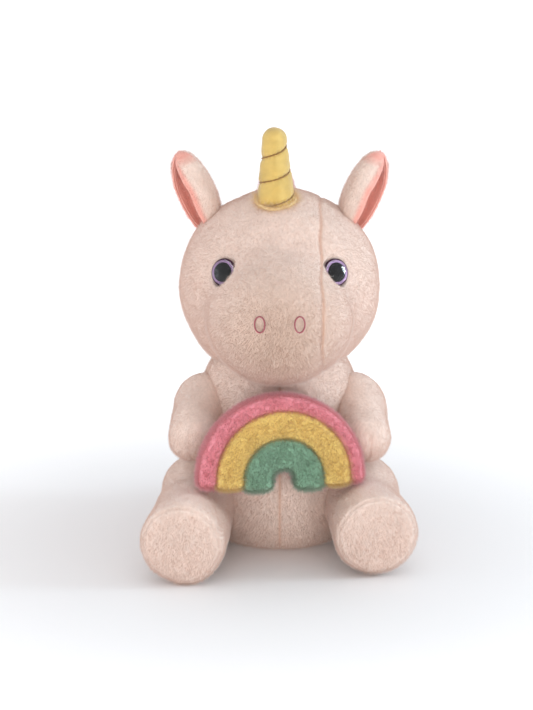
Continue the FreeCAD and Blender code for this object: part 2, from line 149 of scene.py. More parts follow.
def cube_sphere(n):
    """Directions and faces of a sphere of six grids, each n by n."""
    ticks = np.tan(np.linspace(-math.pi / 4, math.pi / 4, n + 1))
    u, v = np.meshgrid(ticks, ticks, indexing="ij")
    one = np.ones_like(u)
    sides = [(one, u, v), (-one, v, u), (v, one, u), (u, -one, v), (u, v, one), (v, u, -one)]
    points = np.concatenate([np.stack(s, axis=-1).reshape(-1, 3) for s in sides])
    points /= np.linalg.norm(points, axis=1)[:, None]
    _, first, merged = np.unique(np.round(points, 6), axis=0, return_index=True, return_inverse=True)
    merged = merged.reshape(-1)
    i, j = np.meshgrid(np.arange(n), np.arange(n), indexing="ij")
    corner = (i * (n + 1) + j).reshape(-1)
    quads = np.stack([corner, corner + n + 1, corner + n + 2, corner + 1], axis=1)
    faces = np.concatenate([quads + side * (n + 1) ** 2 for side in range(6)])
    return points[first], merged[faces].tolist()


def gradient(field, p):
    step = 0.05
    parts = []
    for axis in np.eye(3) * step:
        parts.append(field(p + axis) - field(p - axis))
    normals = np.stack(parts, axis=1)
    return normals / (np.linalg.norm(normals, axis=1)[:, None] + 1e-12)


def skin(name, centre, field, n, relief=None):
    """The field's surface as seen from its centre, moved along its normals by relief(points)."""
    directions, faces = cube_sphere(n)
    reach = np.zeros(len(directions))
    for _ in range(90):
        reach += np.clip(-field(centre + directions * reach[:, None]), -3, 12) * 0.85
    points = centre + directions * reach[:, None]
    if relief is not None:
        points = points + gradient(field, points) * relief(points)[:, None]
    return make_mesh(name, points, faces)


def grid_mesh(name, rows, caps=True):
    """A mesh from rings of points, with the first and last ring capped."""
    count, around = len(rows), len(rows[0])
    points = np.concatenate(rows)
    faces = []
    for r in range(count - 1):
        for c in range(around):
            d = (c + 1) % around
            faces.append((r * around + c, r * around + d, (r + 1) * around + d, (r + 1) * around + c))
    if caps:
        for start, order in ((0, -1), ((count - 1) * around, 1)):
            middle = len(points)
            points = np.vstack([points, points[start:start + around].mean(axis=0)])
            for c in range(around):
                pair = (start + c, start + (c + 1) % around)[::order]
                faces.append((pair[0], pair[1], middle))
    piece = make_mesh(name, points, faces)
    weld(piece)
    return piece


def tube(name, path, radius, around=10, closed=False):
    """A round thread along a path of points."""
    path = np.asarray(path)
    after = np.roll(path, -1, axis=0) - np.roll(path, 1, axis=0)
    if not closed:
        after[0], after[-1] = path[1] - path[0], path[-1] - path[-2]
    after /= np.linalg.norm(after, axis=1)[:, None]
    rows, side = [], np.cross(after[0], (0.3, 0.2, 0.9))
    for point, forward in zip(path, after):
        side = side - forward * (side @ forward)
        side /= np.linalg.norm(side)
        up = np.cross(forward, side)
        angles = np.linspace(0, 2 * math.pi, around, endpoint=False)[:, None]
        rows.append(point + radius * (np.cos(angles) * side + np.sin(angles) * up))
    if closed:
        rows.append(rows[0])
    return grid_mesh(name, rows, caps=not closed)


def weld(piece):
    work = bmesh.new()
    work.from_mesh(piece.data)
    bmesh.ops.remove_doubles(work, verts=work.verts, dist=1e-6)
    bmesh.ops.recalc_face_normals(work, faces=work.faces)
    work.to_mesh(piece.data)
    work.free()


# ---- Materials -------------------------------------------------------------------------------------------
class Shade:
    """A node material: a Principled shader and short calls for what feeds it."""

    def __init__(self, name, **sockets):
        self.mat = bpy.data.materials.new(name)
        self.mat.use_nodes = True
        self.tree = self.mat.node_tree
        self.shader = self.tree.nodes["Principled BSDF"]
        self.object_coords = self.node("ShaderNodeTexCoord").outputs["Object"]
        for socket, value in sockets.items():
            self.shader.inputs[socket.replace("_", " ")].default_value = value

    def node(self, kind, **settings):
        made = self.tree.nodes.new(kind)
        for key, value in settings.items():
            setattr(made, key, value)
        return made

    def link(self, a, b):
        self.tree.links.new(a, b)

    def noise(self, size_mm, stretch=(1, 1, 1), detail=2.0):
        """Noise from 0 to 1 with features of that size; a larger stretch makes them longer along an axis."""
        scaled = self.node("ShaderNodeMapping")
        scaled.inputs["Scale"].default_value = [1 / s for s in stretch]
        self.link(self.object_coords, scaled.inputs["Vector"])
        made = self.node("ShaderNodeTexNoise")
        made.inputs["Scale"].default_value = 1000 / size_mm
        made.inputs["Detail"].default_value = detail
        self.link(scaled.outputs["Vector"], made.inputs["Vector"])
        return made.outputs["Fac"]

    def math(self, operation, a, b=0.0):
        made = self.node("ShaderNodeMath", operation=operation)
        for socket, value in zip(made.inputs, (a, b)):
            if isinstance(value, (int, float)):
                socket.default_value = value
            else:
                self.link(value, socket)
        return made.outputs[0]

    def ramp(self, factor, low, high, start=0.3, end=0.7):
        made = self.node("ShaderNodeValToRGB")
        made.color_ramp.elements[0].position = start
        made.color_ramp.elements[1].position = end
        made.color_ramp.elements[0].color = (*low, 1)
        made.color_ramp.elements[1].color = (*high, 1)
        self.link(factor, made.inputs[0])
        return made.outputs[0]

    def mix(self, factor, a, b, blend="MIX"):
        made = self.node("ShaderNodeMix", data_type="RGBA", blend_type=blend)
        for socket, value in ((made.inputs[0], factor), (made.inputs[6], a), (made.inputs[7], b)):
            if isinstance(value, tuple):
                socket.default_value = (*value, 1)
            elif isinstance(value, (int, float)):
                socket.default_value = value
            else:
                self.link(value, socket)
        return made.outputs[2]

    def near(self, centre_mm, radius_mm):
        """1 at a point of the object and 0 beyond a radius."""
        away = self.node("ShaderNodeVectorMath", operation="DISTANCE")
        self.link(self.object_coords, away.inputs[0])
        away.inputs[1].default_value = [c * M for c in centre_mm]
        fade = self.node("ShaderNodeMapRange", interpolation_type="SMOOTHSTEP")
        fade.inputs["From Max"].default_value = radius_mm * M
        fade.inputs["To Min"].default_value = 1.0
        fade.inputs["To Max"].default_value = 0.0
        self.link(away.outputs["Value"], fade.inputs["Value"])
        return fade.outputs[0]

    def bump(self, height, depth_mm):
        made = self.node("ShaderNodeBump")
        made.inputs["Strength"].default_value = 1.0
        made.inputs["Distance"].default_value = depth_mm * M
        self.link(height, made.inputs["Height"])
        self.link(made.outputs[0], self.shader.inputs["Normal"])

    def colour(self, value):
        self.link(value, self.shader.inputs["Base Color"])


def shade_of(colour, factor):
    return tuple(min(1.0, c * factor) for c in colour)


def muzzle_painted_shade(s, colour):
    """Painted shade: darkens the colour over the front of the muzzle, fading out within 60 mm."""
    # flat is where the shade is painted: 1 at the front of the muzzle, 0 beyond 60 mm
    flat = s.near(MUZZLE + (0, -34, -4), 60)
    return s.mix(flat, colour, s.mix(1.0, colour, MUZZLE_PAINTED_SHADE, "MULTIPLY"))


def plush(name, colour, marked=None, fluff=0.3, muzzle=False):
    """Short pile: mottled colour, brushed bump and a soft sheen, tinted where the mesh's "mark" is 1."""
    s = Shade(name, Roughness=0.9, Sheen_Weight=0.6, Sheen_Roughness=0.45)
    s.shader.inputs["Specular IOR Level"].default_value = 0.15
    broad = s.noise(22, detail=3)
    fine = s.noise(1.6, stretch=(1, 1, 2.2), detail=3)
    tone = s.math("ADD", s.math("MULTIPLY", broad, 0.45), s.math("MULTIPLY", fine, 0.55))
    mottled = s.ramp(tone, shade_of(colour, 0.86), shade_of(colour, 1.06), 0.34, 0.66)
    if marked:
        # marked: painted shade along the seams of head and body, the lining's own coral at the ears' rims
        mottled = s.mix(s.node("ShaderNodeAttribute", attribute_name="mark").outputs["Fac"], mottled, marked)
    # with muzzle, painted shade darkens the front of the muzzle
    s.colour(muzzle_painted_shade(s, mottled) if muzzle else mottled)
    tufts = s.noise(0.9, stretch=(1, 1, 1.8), detail=4)
    s.bump(s.math("ADD", tufts, s.math("MULTIPLY", fine, 0.8)), fluff)
    return s.mat


def mark(piece, share):
    """Stores share(points in mm), from 0 to 1, as the mesh's "mark"."""
    points = np.array([v.co for v in piece.data.vertices]) / M
    marks = piece.data.attributes.new("mark", "FLOAT", "POINT")
    marks.data.foreach_set("value", np.clip(share(points), 0, 1))


def fibre(name, colour, uneven=0.9, muzzle=False):
    """The strands of a pile: matt and a little translucent, with painted shade deepening the root and a painted
    sheen paling the tip.
    """
    s = Shade(name, Roughness=0.75)
    s.shader.inputs["Specular IOR Level"].default_value = 0.2
    strand = s.node("ShaderNodeHairInfo")
    # painted shade at the root and painted sheen towards the tip
    root = s.mix(1.0, colour, ROOT_PAINTED_SHADE, "MULTIPLY")
    tip = s.mix(0.42, colour, TIP_PAINTED_SHEEN)
    tone = s.mix(strand.outputs["Intercept"], root, tip)
    random = s.ramp(strand.outputs["Random"], (uneven, uneven, uneven), (1.0, 1.0, 1.0), 0.0, 1.0)
    tone = s.mix(1.0, tone, random, "MULTIPLY")
    if muzzle:
        # painted shade over the front of the muzzle
        tone = muzzle_painted_shade(s, tone)
    s.colour(tone)
    glow = s.node("ShaderNodeBsdfTranslucent")
    s.link(tone, glow.inputs["Color"])
    both = s.node("ShaderNodeMixShader")
    both.inputs[0].default_value = 0.5
    s.link(s.shader.outputs[0], both.inputs[1])
    s.link(glow.outputs[0], both.inputs[2])
    s.link(both.outputs[0], s.tree.nodes["Material Output"].inputs["Surface"])
    return s.mat


PEACH = (0.83, 0.68, 0.60)
ROOT_PAINTED_SHADE = (0.92, 0.80, 0.74)        # painted shade: multiplies a strand's colour at its root
TIP_PAINTED_SHEEN = (0.93, 0.90, 0.91)         # painted sheen: what a strand's colour fades towards at its tip
MUZZLE_PAINTED_SHADE = (0.77, 0.71, 0.66)      # painted shade: multiplies the peach over the front of the muzzle
# painted shade laid along the seams' grooves
SEAM_PAINTED_SHADE = (0.66, 0.38, 0.26)
CORAL = (0.82, 0.40, 0.33)
PINK = (0.88, 0.36, 0.42)
PALE_PINK = (0.82, 0.42, 0.42)
YELLOW = (0.92, 0.73, 0.26)
GREEN = (0.30, 0.51, 0.36)
GOLD = (0.64, 0.44, 0.12)
CREAM = (0.90, 0.74, 0.42)


# ---- Finish of a soft piece ------------------------------------------------------------------------------
def pile(piece, tone, strands, length, density, comb=(0, 0, -0.25), ruffle=0.35, thick=0.075):
    """Hair-like pile on the vertices where density(points in mm) is above 0; strands per square centimetre."""
    mesh = piece.data
    points = np.empty(len(mesh.vertices) * 3)
    mesh.vertices.foreach_get("co", points)
    points = points.reshape(-1, 3) / M
    grows = density(points)
    name = f"pile_{tone}"
    group = piece.vertex_groups.new(name=name)
    group.add(np.nonzero(grows > 0)[0].tolist(), 1.0, "REPLACE")
    area = sum(p.area for p in mesh.polygons if all(grows[v] > 0 for v in p.vertices)) * 1e4
    piece.modifiers.new(name, "PARTICLE_SYSTEM")
    system = piece.particle_systems[-1]
    system.seed = len(piece.name)
    system.vertex_group_density = name
    hair = system.settings
    hair.type = "HAIR"
    hair.count = int(strands * area * (1.0))
    hair.hair_step = 3
    hair.use_advanced_hair = True
    hair.use_modifier_stack = False
    hair.emit_from = "FACE"
    hair.use_even_distribution = True
    hair.distribution = "RAND"
    push = length * M / 4       # Blender makes a strand four times as long as its starting push
    hair.normal_factor = push
    hair.factor_random = push * ruffle
    hair.object_align_factor = [c * push for c in comb]
    hair.length_random = 0.4
    hair.root_radius = 1.0
    hair.tip_radius = 0.25
    hair.radius_scale = thick * M
    mesh.materials.append(FIBRE[tone])
    hair.material = len(mesh.materials)
    hair.render_step = 2
    hair.display_step = 2


def soft_piece(piece, body, nodes, materials):
    for material in materials:
        piece.data.materials.append(material)
    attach(piece, body)
    if nodes:
        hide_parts(*nodes)
    return piece


# ---- Head ------------------------------------------------------------------------------------------------
PILE = 0.9              # how far the fabric lies below the tips of its pile
SOCKET_GAP = 0.45       # between the neck and the head's socket
NECK_ROOM_DEPTH, NECK_ROOM_ANGLE = 2.9, 31      # the room over the neck's thread, and its half angle
EYE_X, EYE_Z = 32.0, NECK[2] + 84.9
EYE_R, EYE_SINK = 8.0, 1.2
NOSTRIL_X, NOSTRIL_Z, NOSTRIL_HALF = 11.0, NECK[2] + 62.1, (2.8, 4.4)
THREAD_R = 0.42
HORN_FOOT = NECK + (-2.2, -18.5, 123.5)
HORN_LEAN, HORN_SIDE_LEAN = 7, 1.5


def turn(axis, degrees):
    c, s = math.cos(math.radians(degrees)), math.sin(math.radians(degrees))
    if axis == "x":
        return np.array(((1, 0, 0), (0, c, -s), (0, s, c)))
    if axis == "y":
        return np.array(((c, 0, s), (0, 1, 0), (-s, 0, c)))
    return np.array(((c, -s, 0), (s, c, 0), (0, 0, 1)))


def head_bulk(p):
    return join(ellipsoid(p, HEAD, HEAD_RADII), ellipsoid(p, MUZZLE, MUZZLE_RADII), 9.0) + PILE


def eye_place(side):
    """The middle of the eye's back plate and its axes: across, up and out of the head."""
    x, z = SIDES[side] * EYE_X, EYE_Z
    rest = 1 - (x / HEAD_RADII[0]) ** 2 - ((z - HEAD[2]) / HEAD_RADII[2]) ** 2
    point = np.array((x, HEAD[1] - HEAD_RADII[1] * math.sqrt(rest), z))
    out = (point - HEAD) / HEAD_RADII**2
    out /= np.linalg.norm(out)
    across = np.cross((0, 0, 1), out)
    across /= np.linalg.norm(across)
    return point - out * EYE_SINK, np.array((across, np.cross(out, across), out))


def head_field(p):
    q = p - NECK
    opening = math.radians(NECK_ROOM_ANGLE)
    cone = np.hypot(q[:, 0], q[:, 1]) * math.cos(opening) - q[:, 2] * math.sin(opening)
    field = carve(head_bulk(p), ball(p, NECK, NECK_R + SOCKET_GAP), 1.5)
    field = carve(field, np.maximum(ball(p, NECK, NECK_R + NECK_ROOM_DEPTH), cone), 0.8)
    for side in SIDES:
        origin, axes = eye_place(side)
        local = (p - origin) @ axes.T
        field = carve(field, ellipsoid(local, np.array((0, 0, 0.6)), np.array((8.7, 8.7, 2.6))), 1.6)
    return field


def from_face_seam(p):
    """How far points lie from the seam down the left of the face, which wanders a little."""
    return p[:, 0] - FACE_SEAM_X - 0.5 * lumps(p, 26, 6)


def head_relief(p):
    """Seams, the pull of the stitches beside them and a slightly uneven filling."""
    front = p[:, 1] < BACK_SEAM_Y
    right = groove(from_face_seam(p), 1.1)
    left = groove(p[:, 0] + FACE_SEAM_X, 1.1)
    pull = groove(from_face_seam(p), 5.0)
    move = front * (-0.9 * right - 0.15 * left - 0.45 * pull)
    move -= 0.8 * groove(p[:, 1] - BACK_SEAM_Y, 1.1)
    crown = groove(p[:, 0], 1.1) * (p[:, 1] >= BACK_SEAM_Y)
    return move - 0.6 * crown + 0.35 * lumps(p, 34, 1) + 0.12 * lumps(p, 9, 2)


def away_from_trim(p):
    """Above 0 on the head where pile grows: off the neck, the eyes, the horn's foot and the nostrils."""
    grows = np.minimum(ball(p, NECK, NECK_R + 1.8), np.abs(from_face_seam(p)) - 0.45)
    for side in SIDES:
        origin, axes = eye_place(side)
        local = (p - origin) @ axes.T
        eye = np.maximum(np.hypot(local[:, 0], local[:, 1]) - 8.3, np.abs(local[:, 2]) - 3.2)
        grows = np.minimum(grows, eye)
        x = (p[:, 0] - SIDES[side] * NOSTRIL_X) / (NOSTRIL_HALF[0] + 0.1)
        ring = np.abs(np.hypot(x, (p[:, 2] - NOSTRIL_Z) / (NOSTRIL_HALF[1] + 0.1)) - 1) * 3.2 - 0.55
        grows = np.minimum(grows, np.where(p[:, 1] < MUZZLE[1], ring, 1))
    local = from_horn(p)
    return np.minimum(grows, np.maximum(np.hypot(local[:, 0], local[:, 1]) - 11, np.abs(local[:, 2]) - 12))


HORN_TURN = turn("y", -HORN_SIDE_LEAN) @ turn("x", HORN_LEAN)


def to_horn(local):
    return local @ HORN_TURN.T + HORN_FOOT


def from_horn(p):
    return (p - HORN_FOOT) @ HORN_TURN


def make_head():
    piece = skin("head_cover", NECK + (0, -14, 66), head_field, 100, head_relief)
    nodes = ["head_gusset", "head_side_left", "head_side_right", "head_back", "head_filling"]
    soft_piece(piece, "head", nodes, [PLUSH["head"]])
    # painted shade along the face seam, strongest 0.7 at its middle
    mark(piece, lambda p: 0.7 * groove(from_face_seam(p), 0.8) * (p[:, 1] < BACK_SEAM_Y))
    pile(piece, "head", 650, 1.6, away_from_trim, comb=(0, 0, -0.45), ruffle=0.28, thick=0.065)


def lathe(name, profile, place, around=64):
    """A turned piece from a list of (radius, height), placed by a function of points."""
    angles = np.linspace(0, 2 * math.pi, around, endpoint=False)
    rows = []
    for radius, height in profile:
        ring = np.stack([radius * np.cos(angles), radius * np.sin(angles), np.full(around, height)], axis=1)
        rows.append(place(ring))
    return grid_mesh(name, rows)


def make_eyes():
    """Each eye: a rimmed plate on its post, a lilac iris ring, a black pupil and a clear dome."""
    plate = [(0.3, -13), (2.2, -13), (2.2, 0), (7.9, 0), (8.05, 0.7)]
    plate += [(8.0, 1.5), (7.7, 2.0), (7.3, 2.1), (7.1, 1.6), (0.3, 1.5)]
    iris = [(4.6, 1.5), (7.15, 1.5), (7.15, 1.75), (5.6, 1.95), (4.6, 1.9)]
    pupil = [(0.2, 1.5), (5.2, 1.5), (5.3, 2.0), (4.9, 2.25), (0.2, 2.5)]
    lens = [(0.2, 2.6), (4.9, 2.35), (6.0, 2.1), (7.15, 1.8), (7.2, 2.0)]
    lens += [(7.2 * math.cos(a), 2.0 + 3.4 * math.sin(a)) for a in np.linspace(0.12, 1.54, 14)]
    parts = (
        ("rim", plate, "post_plate", "eye_back", EYE_RIM),
        ("iris", iris, "iris", "eye_iris", EYE_IRIS),
        ("pupil", pupil, "pupil", "eye_pupil", EYE_PUPIL),
        ("lens", lens, "lens", "eye_lens", EYE_LENS),
    )
    for side in SIDES:
        origin, axes = eye_place(side)
        for part, profile, node, slot, material in parts:
            piece = lathe(f"{side}_eye_{part}_piece", profile, lambda ring: origin + ring @ axes)
            piece.data.materials.append(material)
            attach(piece, "head")
            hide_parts(f"{side}_eye_{node}")


def on_face(x, z, lift):
    """Points of the face's front at x and z, lifted off the fabric."""
    p = np.stack([x, np.full_like(x, MUZZLE[1] - 60.0), z], axis=1)
    for _ in range(60):
        p[:, 1] += head_bulk(p) * 0.9
    return p + gradient(head_bulk, p) * lift


def make_nostrils():
    turnings = np.linspace(0, 2 * math.pi, 72, endpoint=False)
    for side, s in SIDES.items():
        x = s * NOSTRIL_X + NOSTRIL_HALF[0] * np.cos(turnings)
        z = NOSTRIL_Z + NOSTRIL_HALF[1] * np.sin(turnings)
        piece = tube(f"{side}_nostril_stitches", on_face(x, z, 0.6), THREAD_R, closed=True)
        piece.data.materials.append(ROSE_THREAD)
        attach(piece, "head")
        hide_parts(f"{side}_nostril")


# ---- Horn ------------------------------------------------------------------------------------------------
HORN_R, HORN_TIP_R, HORN_LENGTH = 10.8, 6.7, 42.3
SPIRAL_PITCH, SPIRAL_LOW, SPIRAL_START, SPIRAL_TURNS = 14.4, -4.0, 190, 2.6
COLLAR_R, COLLAR_TUBE_R = 11.3, 1.1
COLLAR_DROP_FROM = 14.0                         # the height above the horn's foot it is laid on the head from


def horn_radius(z):
    tip_z = HORN_LENGTH - HORN_TIP_R
    cone = HORN_R - (HORN_R - HORN_TIP_R) / tip_z * z
    over = np.clip(z - tip_z, 0, HORN_TIP_R)
    return np.where(z < tip_z, cone, np.sqrt(np.clip(HORN_TIP_R**2 - over**2, 0.01, None)))


def spiral_gap(angle, z):
    """The height between a point of the horn and the nearest turn of its thread."""
    turns = (z - SPIRAL_LOW) / SPIRAL_PITCH - (angle - math.radians(SPIRAL_START)) / (2 * math.pi)
    gap = (turns - np.round(turns)) * SPIRAL_PITCH
    done = z > SPIRAL_LOW + SPIRAL_PITCH * SPIRAL_TURNS + 2
    return np.where(done, 9.0, gap)


def make_horn():
    angles = np.linspace(0, 2 * math.pi, 160, endpoint=False)
    near_tip = HORN_LENGTH - 3 * np.linspace(0.9, 0.02, 12) ** 2
    heights = np.concatenate([np.linspace(-5, HORN_LENGTH - 3, 130), near_tip])
    rows = []
    for z in heights:
        gap = spiral_gap(angles, np.full_like(angles, z))
        ring = np.stack([np.cos(angles), np.sin(angles), np.zeros_like(angles)], axis=1)
        sample = ring * 9 + (0, 0, z)
        gather = 0.16 * np.sin(angles * 17 + 2 * lumps(sample, 12, 5)) * groove(gap, 3.0)
        radius = horn_radius(z) - 0.95 * groove(gap, 1.5) + 0.3 + 0.2 * lumps(sample, 10, 4) + gather
        rows.append(to_horn(ring * np.clip(radius, 0.05, None)[:, None] + (0, 0, z)))
    horn = grid_mesh("horn_skin", rows)
    soft_piece(horn, "head", ["horn_cover", "horn_filling"], [SATIN])
    turns = np.linspace(0.12, SPIRAL_TURNS, 240)
    angle = np.radians(SPIRAL_START) + 2 * math.pi * turns
    z = SPIRAL_LOW + SPIRAL_PITCH * turns
    radius = horn_radius(z) - 0.45
    path = np.stack([radius * np.cos(angle), radius * np.sin(angle), z], axis=1)
    thread = tube("horn_spiral", to_horn(path), THREAD_R, 8)
    thread.data.materials.append(BROWN_THREAD)
    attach(thread, "head")
    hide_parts("horn_thread")


def make_collar():
    """The fluffy ring between the horn and the head, lying on the head all the way round."""
    angles = np.linspace(0, 2 * math.pi, 72, endpoint=False)
    ring = np.stack([np.cos(angles), np.sin(angles), np.full_like(angles, COLLAR_DROP_FROM)], axis=1)
    ring[:, :2] *= COLLAR_R
    for _ in range(60):
        ring[:, 2] -= head_bulk(to_horn(ring)) * 0.9
    piece = tube("horn_ring", to_horn(ring), COLLAR_TUBE_R, 14, closed=True)
    soft_piece(piece, "head", ["horn_collar"], [PLUSH["cream"]])
    pile(piece, "cream", 1000, 3.2, lambda p: np.ones(len(p)), comb=(0, 0, -0.1), ruffle=1.0, thick=0.08)


# ---- Ears ------------------------------------------------------------------------------------------------
EAR_RADII, EAR_MIDDLE, EAR_TILT, EAR_OPEN_TO = np.array((15.5, 11.5, 28.0)), 15.0, 24, 62
EAR_WALL = 2.2


def ear_place(side, p, back=False):
    """From the ear's own frame to the head, or back: X along its hinge and outwards, Z off the skull."""
    hinge, mirror = JOINT_AT[f"{side}_ear_bend"], np.array((SIDES[side], 1, 1))
    steep = math.degrees(math.atan2(abs(hinge[0]) / HEAD_RADII[0] ** 2, (hinge[2] - HEAD[2]) / HEAD_RADII[2] ** 2))
    lean = turn("y", steep - EAR_TILT)
    return ((p - hinge) * mirror) @ lean if back else p @ lean.T * mirror + hinge


def ear_opening(z):
    """Half the angle that the cup leaves open at a height."""
    ease = np.clip((EAR_MIDDLE + EAR_RADII[2] - z) / 24, 0, 1)
    return np.radians(5 + 35 * ease**0.8)


def ear_strip(z, inset, turns, depth=None):
    """One row of the ear's cup at a height, from one rim to the other."""
    reach = math.sqrt(max(1 - ((z - EAR_MIDDLE) / (EAR_RADII[2] - inset)) ** 2, 0.0004))
    angles = -math.pi / 2 + ear_opening(z) + 2 * (math.pi - ear_opening(z)) * turns
    inset = inset if depth is None else depth
    across = (EAR_RADII[0] - inset) * reach * np.cos(angles)
    deep = (EAR_RADII[1] - inset) * reach * np.sin(angles)
    return np.stack([across, deep, np.full_like(angles, z)], axis=1) @ turn("z", EAR_OPEN_TO).T


def ear_rim(side, p):
    """How far points of the ear lie from its rims, along the fabric."""
    local = ear_place(side, p, back=True) @ turn("z", EAR_OPEN_TO)
    angle = np.arctan2(local[:, 1] / EAR_RADII[1], local[:, 0] / EAR_RADII[0]) + math.pi / 2
    angle = np.abs((angle + math.pi) % (2 * math.pi) - math.pi)
    top = (EAR_MIDDLE + EAR_RADII[2] - local[:, 2]) * 0.5
    return np.minimum((angle - ear_opening(local[:, 2])) * 12, np.where(angle < 2.2, top, 9))


def make_ears():
    steps = np.linspace(0, 1, 64)
    heights = EAR_MIDDLE + (EAR_RADII[2] - 0.2) * np.sin(np.linspace(-0.95, math.pi / 2 - 0.03, 76))
    for side in SIDES:
        for part, outer, inner in (("outer", PILE, EAR_WALL), ("lining", EAR_WALL, EAR_WALL + 1.0)):
            rows = []
            for z in heights:
                outside = ear_strip(z, outer, steps)
                depth = inner + (3.5 * np.sin(math.pi * steps) ** 0.5 if part == "lining" else 0)
                inside = ear_strip(min(z, EAR_MIDDLE + EAR_RADII[2] - inner - 0.1), inner, steps, depth)
                rim = np.sin(np.linspace(0, math.pi, 7)[1:-1])[:, None] * 0.7
                ends = []
                far = (outside[-1], inside[-1], inside[-1] - outside[-2])
                near = (inside[0], outside[0], outside[0] - outside[1])
                for start, end, away in (far, near):
                    away = away / (np.linalg.norm(away) + 1e-9)
                    mixed = start + (end - start) * np.linspace(0, 1, 7)[1:-1, None]
                    ends.append(mixed + away * rim)
                ring = np.concatenate([outside, ends[0], inside[::-1], ends[1]])
                rows.append(ear_place(side, ring + 0.3 * lumps(ring, 14, 7)[:, None] * (0.7, 0.7, 0)))
            piece = grid_mesh(f"{side}_ear_{part}_skin", rows)
            if part == "outer":
                material, slot = PLUSH["ear"], "body_plush"
                mark(piece, lambda p: (5.0 - ear_rim(side, p)) / 3.0)
            else:
                material, slot = PLUSH["coral"], "ear_lining_plush"
            soft_piece(piece, f"{side}_ear", [f"{side}_ear_{part}"], [material])
            if part == "outer":
                pile(piece, "peach", 400, 1.7, lambda p: ear_rim(side, p) - 3.0, ruffle=0.5)
                pile(piece, "coral", 260, 1.6, lambda p: 4.5 - ear_rim(side, p), ruffle=0.5)
            else:
                pile(piece, "coral", 200, 1.2, lambda p: np.ones(len(p)), ruffle=0.5)


# ---- Mane and tail ---------------------------------------------------------------------------------------
MANE, MANE_RADII = NECK + (-1.5, 6, 70.5), np.array((13.5, 62.0, 75.5))


def mane_field(p):
    crest = ellipsoid(p, MANE, MANE_RADII) + 0.6
    front = HORN_FOOT[1] + 12 - p[:, 1]
    foot = NECK[2] + 36.5 - p[:, 2]
    return carve(carve(crest, -front, 2.0), -foot, 6.0)


def make_mane():
    piece = skin("mane_crest", NECK + (-1.5, 32, 84), mane_field, 56, lambda p: 0.5 * lumps(p, 11, 3))
    soft_piece(piece, "head", ["mane"], [PLUSH["pale_pink"]])
    pile(piece, "pale_pink", 300, 3.2, lambda p: head_bulk(p) + 0.5, comb=(0, 0.3, -0.3), ruffle=0.8, thick=0.06)


def make_tail():
    root = JOINT_AT["tail_wag"]
    tip = root + (0, 17.5, -11)

    def field(p):
        return round_cone(p, root, 8.0, tip, 9.5) + 1.2

    piece = skin("tail_tuft", (root + tip) / 2, field, 40, lambda p: 0.5 * lumps(p, 8, 9))
    soft_piece(piece, "tail", ["tail_cover", "tail_filling"], [PLUSH["pale_pink"]])
    pile(piece, "pale_pink", 300, 3.6, lambda p: p[:, 1] - root[1] + 2, comb=(0, 0.4, -0.4), ruffle=0.8, thick=0.06)


# ---- Body ------------------------------------------------------------------------------------------------
BELLY_R, BELLY_Z, BASE_R = 51.0, 36.0, 38.5
DOME_FROM = 97.6        # the height where the shoulder dome begins


def body_radius(z):
    low_r = (BELLY_R - BASE_R) / 2 + BELLY_Z**2 / (2 * (BELLY_R - BASE_R))
    lower = BELLY_R - low_r + np.sqrt(low_r**2 - np.clip(BELLY_Z - z, 0, None) ** 2)
    t = np.clip((z - BELLY_Z) / (DOME_FROM - BELLY_Z), 0, 1)
    upper = BELLY_R + t * 1.95 - t**2 * 7.1
    dome = np.sqrt(np.clip(NECK_R**2 - (z - NECK[2]) ** 2, 0.01, None))
    return np.where(z < BELLY_Z, lower, np.where(z < DOME_FROM, upper, dome))


def make_body():
    angles = np.linspace(0, 2 * math.pi, 288, endpoint=False)
    ring = np.stack([np.cos(angles), np.sin(angles), np.zeros_like(angles)], axis=1)
    corner = 5.0
    profile = [(r, 0.1) for r in np.linspace(2, BASE_R - 3.5, 10)]
    for a in np.linspace(0.15, 1.0, 8):
        z = corner * (1 - math.cos(a * math.pi / 2))
        profile.append((float(body_radius(z)) - corner * (1 - math.sin(a * math.pi / 2)) * 0.9, z + 0.1))
    profile += [(float(body_radius(z)), z) for z in np.linspace(corner + 1, NECK[2] + 38, 118)]
    profile += [(float(body_radius(z)), z) for z in NECK[2] + NECK_R * np.sin(np.linspace(0.95, 1.56, 14))]
    rows = []
    for radius, z in profile:
        flat = ring * radius + (0, NECK[1], z)
        out = ring * (1 - 0.6 * (z > 112)) + (0, 0, 0.6 * (z > 112))
        front = groove(flat[:, 0], 1.0) * (np.abs(flat[:, 1] - NECK[1]) > 20)
        sides = groove(flat[:, 1] - NECK[1], 1.0) * (np.abs(flat[:, 0]) > 20)
        pull = groove(flat[:, 0], 5.0) * (flat[:, 1] < NECK[1])
        move = -PILE - 0.8 * front - 0.7 * sides - 0.4 * pull
        move += 0.4 * lumps(flat, 30, 11) + 0.12 * lumps(flat, 8, 12)
        rows.append(flat + out * (move * (z > 0.2))[:, None])
    piece = grid_mesh("body_cover", rows)
    nodes = [f"body_{end}_{side}" for end in ("front", "back") for side in SIDES] + ["body_seat", "body_filling"]
    soft_piece(piece, "torso", nodes, [PLUSH["body"]])

    def bare_neck_and_seat(p):
        return np.minimum(np.minimum(NECK[2] + 32 - p[:, 2], p[:, 2] - 1.0), np.abs(p[:, 0]) - 0.4)

    # painted shade along the seam down the front, strongest 0.7 at its middle
    mark(piece, lambda p: 0.7 * groove(p[:, 0], 0.8))
    pile(piece, "peach", 450, 1.8, bare_neck_and_seat)


